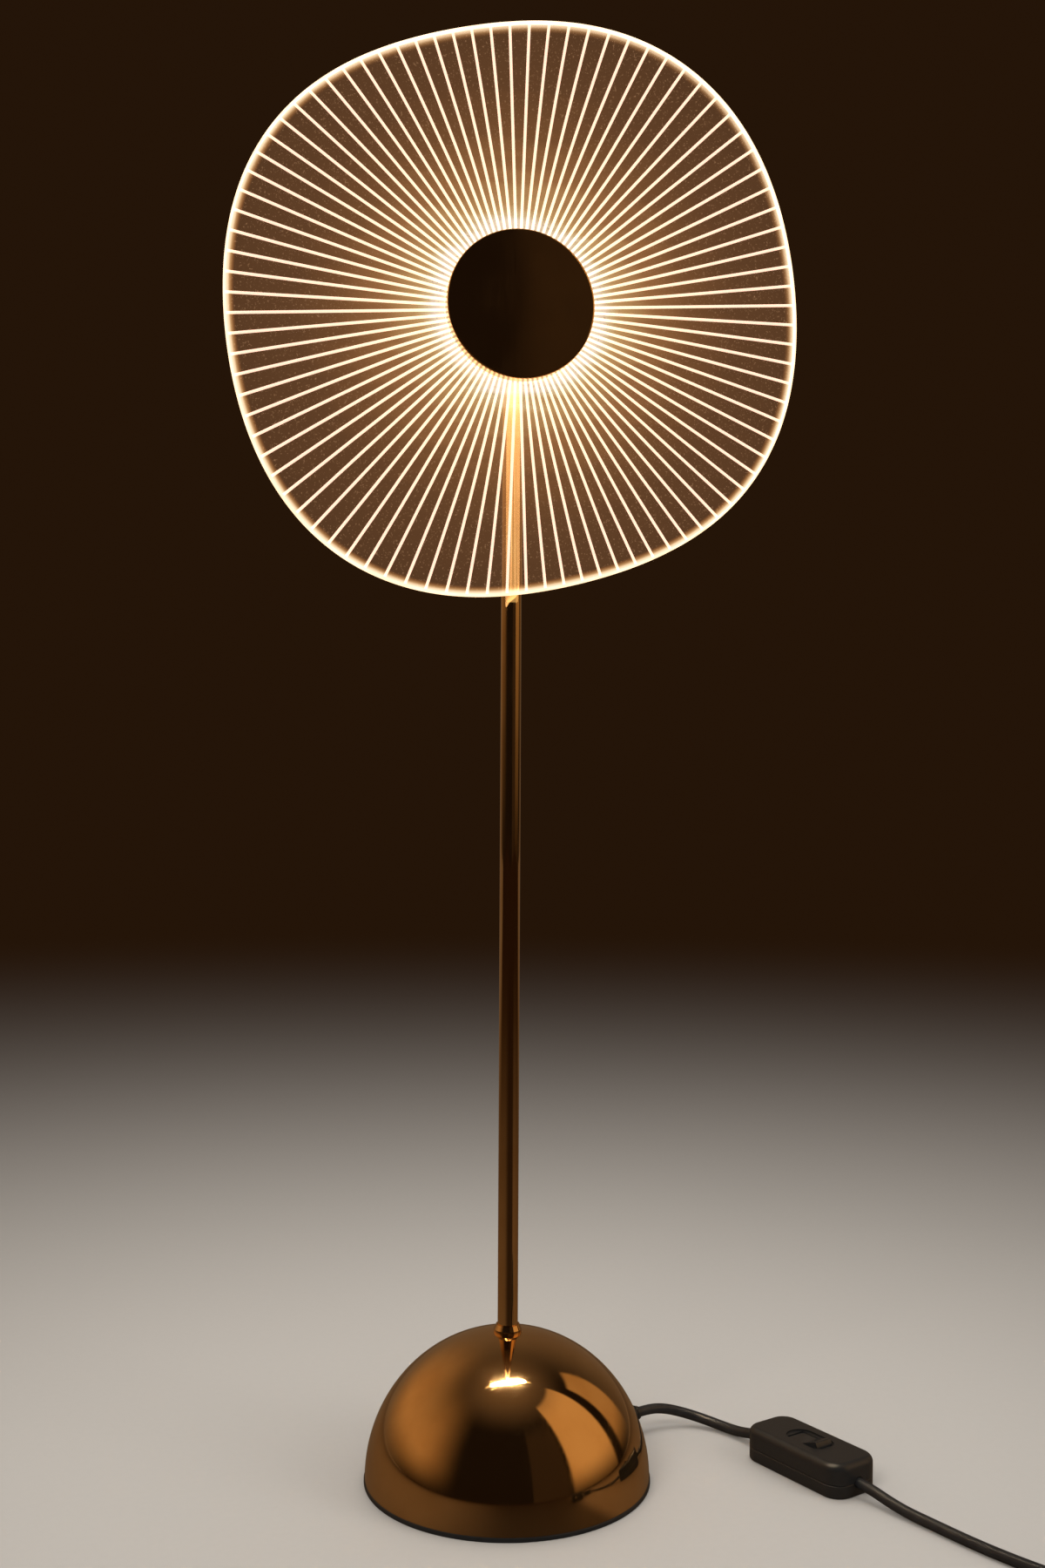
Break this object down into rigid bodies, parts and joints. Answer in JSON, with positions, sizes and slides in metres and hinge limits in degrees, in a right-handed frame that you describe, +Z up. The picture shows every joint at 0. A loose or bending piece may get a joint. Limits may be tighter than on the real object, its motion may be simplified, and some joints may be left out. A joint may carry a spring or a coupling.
{
  "type": "table lamp",
  "caption": "Table lamp: an upright edge-lit acrylic disc with engraved rays on a slim gold stem and half-dome base, with an inline rocker switch on its cord.",
  "frame": {"origin": "centre of the base's edge ring, on the surface that the lamp stands on", "axes": "+Z up along the stem, -Y the way the disc faces"},
  "size_m": [0.3978, 0.3374, 0.7119],
  "materials": {
    "polished_gold": "mirror polish",
    "clear_acrylic": "clear",
    "black_rubber": "matte",
    "black_cord": "satin",
    "black_plastic": "satin",
    "rocker_plastic": "gloss",
    "tie_fabric": "woven",
    "cast_iron": "as cast",
    "black_sheet": "matte",
    "screw_steel": "zinc plated",
    "drum_aluminium": "turned",
    "strip_white": "matte",
    "chip_glow": "phosphor",
    "driver_case": "moulded",
    "lead_sleeve": "smooth",
    "contact_brass": "rolled",
    "pin_nickel": "nickel plated"
  },
  "bodies": {
    "lamp": {"base_weight": "cast_iron", "block_screw": "screw_steel", "bottom_cover": "black_sheet", "cap_screws": "screw_steel", "collar": "polished_gold", "cord_clamps": "black_plastic", "cord_coil": "black_cord", "cord_gland": "black_plastic", "cord_tie": "tie_fabric", "cord_to_coil": "black_cord", "cord_to_switch": "black_cord", "cover_screws": "screw_steel", "disc_gaskets": "black_rubber", "dome_shell": "polished_gold", "driver_leads": "lead_sleeve", "driver_screws": "screw_steel", "front_cap": "polished_gold", "gland_nut": "black_plastic", "grub_screw": "screw_steel", "inner_cord": "black_cord", "lamp_lead": "lead_sleeve", "led_chips": "chip_glow", "led_core": "drum_aluminium", "led_driver": "driver_case", "led_strip": "strip_white", "light_disc": "clear_acrylic", "plug_body": "black_plastic", "plug_pins": "pin_nickel", "rear_housing": "polished_gold", "rim_ring": "black_rubber", "rocker_pin": "screw_steel", "shell_screws": "screw_steel", "stem_nut": "screw_steel", "stem_tube": "polished_gold", "stem_washer": "screw_steel", "switch_base": "black_plastic", "switch_contacts": "contact_brass", "switch_leads": "lead_sleeve", "switch_top": "black_plastic", "terminal_block": "driver_case", "terminal_screws": "screw_steel"},
    "rocker": {"switch_rocker": "rocker_plastic", "contact_plunger": "contact_brass"},
    "contact": {"contact_arm": "contact_brass"}
  },
  "joints": [
    {"name": "rocker_tilt", "type": "hinge", "parent": "lamp", "child": "rocker", "pos_m": [0.1497, -0.0199, 0.0133], "axis": [0.91, 0.4147, 0], "range_deg": [0, 20]},
    {"name": "contact_tilt", "type": "hinge", "parent": "lamp", "child": "contact", "pos_m": [0.1497, -0.0199, 0.0048], "axis": [0.91, 0.4147, 0], "range_deg": [-16, 0]}
  ],
  "couplings": [
    {"joint": "contact_tilt", "follows": "rocker_tilt", "ratio": -0.8}
  ]
}
